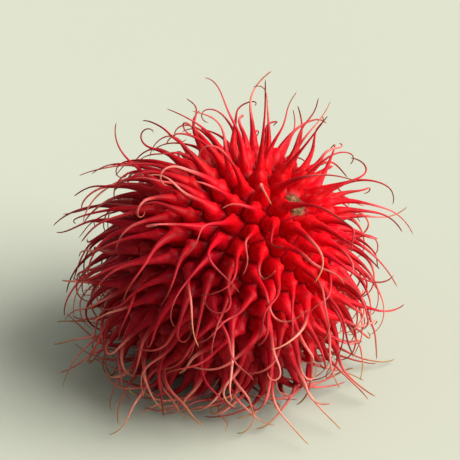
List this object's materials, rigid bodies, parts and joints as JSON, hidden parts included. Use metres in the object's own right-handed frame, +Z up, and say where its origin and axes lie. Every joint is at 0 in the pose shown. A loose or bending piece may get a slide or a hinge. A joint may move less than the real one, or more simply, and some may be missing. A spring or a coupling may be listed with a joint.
{
  "type": "rambutan",
  "caption": "Whole ripe rambutan: an egg-shaped red rind covered in long soft spines, with a corky stem scar, resting on a small flat spot.",
  "frame": {"origin": "middle of the small flat spot that the fruit rests on", "axes": "+Z up, away from the surface it rests on; the stem end leans towards +X, 36 degrees from upright, and the style end points down towards -X"},
  "size_m": [0.0748, 0.071, 0.0632],
  "materials": {
    "rind": "ripe rambutan skin: waxy crimson areoles and spines, the spines turning salmon and olive at their dry tips"
  },
  "bodies": {
    "root": {"rambutan": "rind"}
  },
  "joints": []
}
